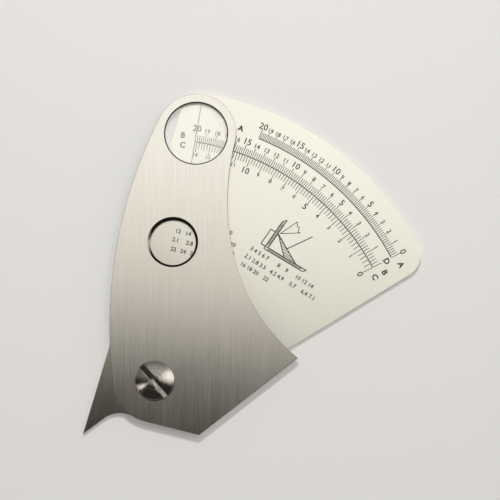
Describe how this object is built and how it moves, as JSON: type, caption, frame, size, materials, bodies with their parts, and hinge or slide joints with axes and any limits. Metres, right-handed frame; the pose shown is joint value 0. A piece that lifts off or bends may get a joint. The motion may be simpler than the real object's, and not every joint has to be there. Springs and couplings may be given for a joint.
{
  "type": "weld gauge",
  "caption": "Flat fan-type fillet weld gauge: a fan leaf with a spike and curved engraved scales swings on a screw behind a plate with a straight foot and a clear reading window.",
  "frame": {"origin": "on the pivot's axis, in the plane of the gauge's back", "axes": "+Z out of the face with the scales; +Y from the pivot towards the reading window's end; +X towards the fan's lower corner"},
  "size_m": [0.0935, 0.0965, 0.0053],
  "materials": {
    "front_steel": "brushed lengthwise",
    "fan_steel": "fine satin, with black-filled graduations",
    "clear_plastic": "clear, polished",
    "turned_steel": "turned, with fine rings",
    "spring_steel": "plain"
  },
  "bodies": {
    "front_leaf": {"front_plate": "front_steel", "window_lens": "clear_plastic", "pivot_screw": "turned_steel", "spring_washer": "spring_steel", "sleeve_nut": "turned_steel"},
    "fan_leaf": {"fan_plate": "fan_steel"}
  },
  "joints": [
    {"name": "fan_swing", "type": "hinge", "parent": "front_leaf", "child": "fan_leaf", "pos_m": [0, 0, 0], "axis": [0, 0, 1], "range_deg": [0, 53.38]}
  ]
}
